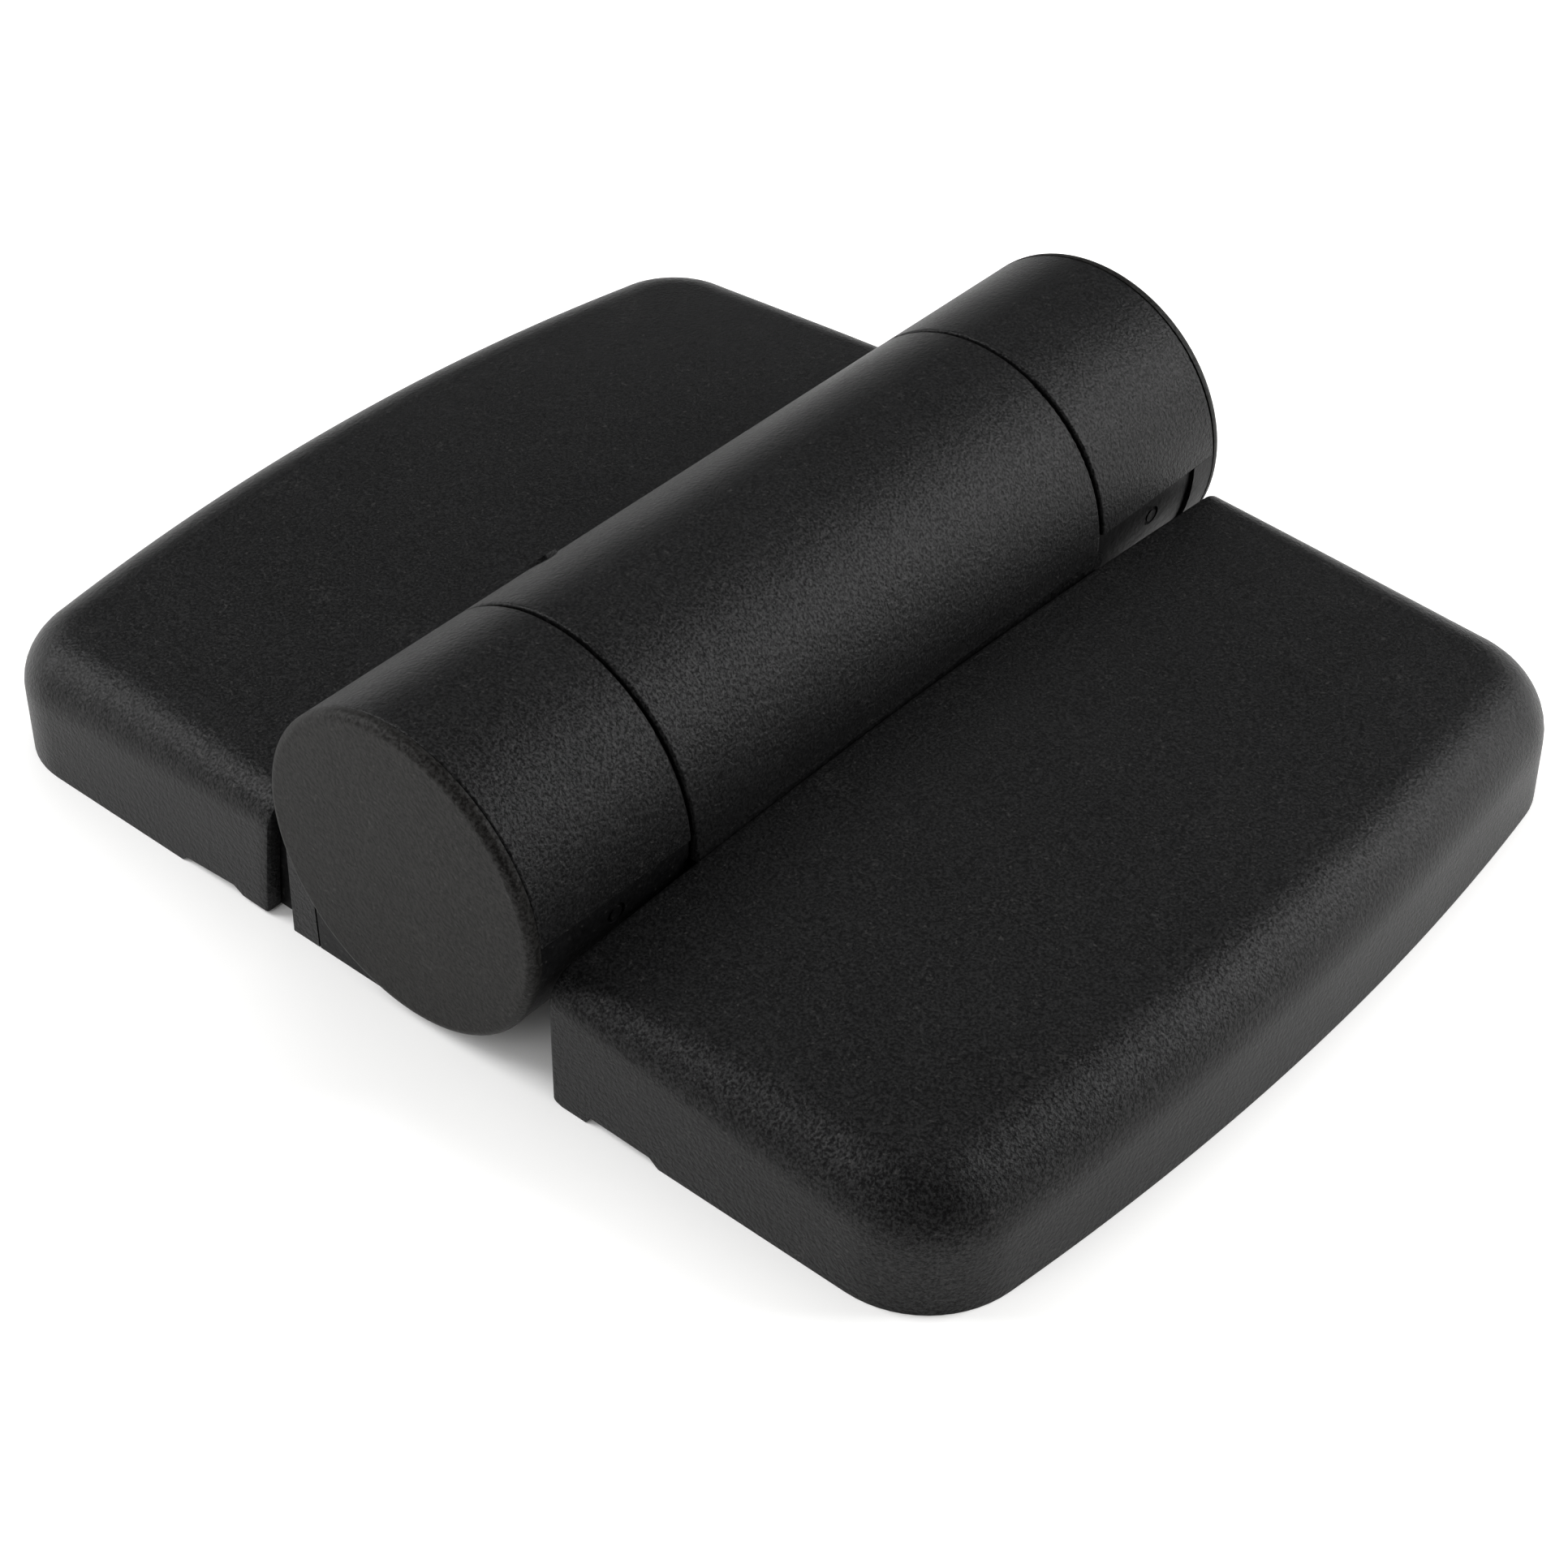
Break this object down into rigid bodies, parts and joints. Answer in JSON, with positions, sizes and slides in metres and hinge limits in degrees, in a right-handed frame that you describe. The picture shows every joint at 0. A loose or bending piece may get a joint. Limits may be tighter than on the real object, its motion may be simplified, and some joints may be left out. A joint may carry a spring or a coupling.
{
  "type": "surface-mounted hinge",
  "caption": "Flat-mounting black plastic hinge with a fat round barrel, soft-motion damper and rounded clip-on covers over the screws.",
  "frame": {"origin": "on the mounting plane, under the middle of the barrel", "axes": "+X from the frame leaf towards the door leaf, +Y along the hinge axis, +Z away from the mounting surface"},
  "size_m": [0.1164, 0.0922, 0.0306],
  "materials": {
    "grained_plastic": "fine spark-eroded grain, matt black",
    "smooth_cap": "smooth satin, slightly lighter black",
    "moulded_core": "glass-filled, smooth as moulded",
    "steel": "ground and zinc plated",
    "zinc": "die cast, bare",
    "acetal": "natural white, slippery",
    "seal_rubber": "moulded nitrile"
  },
  "bodies": {
    "frame_side": {"frame_leaf": "moulded_core", "frame_cover": "grained_plastic", "front_knuckle_shell": "grained_plastic", "rear_knuckle_shell": "grained_plastic", "front_end_cap": "smooth_cap", "rear_end_cap": "smooth_cap", "hinge_shaft": "steel", "shaft_end_screws": "steel", "shaft_end_washers": "steel", "front_shaft_anchor": "zinc", "rear_shaft_anchor": "zinc", "damper_rotor": "acetal", "rotor_drive_pin": "steel"},
    "door_side": {"door_leaf": "moulded_core", "door_cover": "grained_plastic", "middle_knuckle_shell": "grained_plastic", "bearing_carrier": "acetal", "front_bush": "acetal", "rear_bush": "acetal", "front_thrust_washer": "acetal", "rear_thrust_washer": "acetal", "damper_housing": "zinc", "damper_lid": "zinc", "front_shaft_seal": "seal_rubber", "rear_shaft_seal": "seal_rubber"}
  },
  "joints": [
    {"name": "door_swing", "type": "hinge", "parent": "frame_side", "child": "door_side", "pos_m": [0, 0, 0.0156], "axis": [0, -1, 0], "range_deg": [0, 180]}
  ]
}
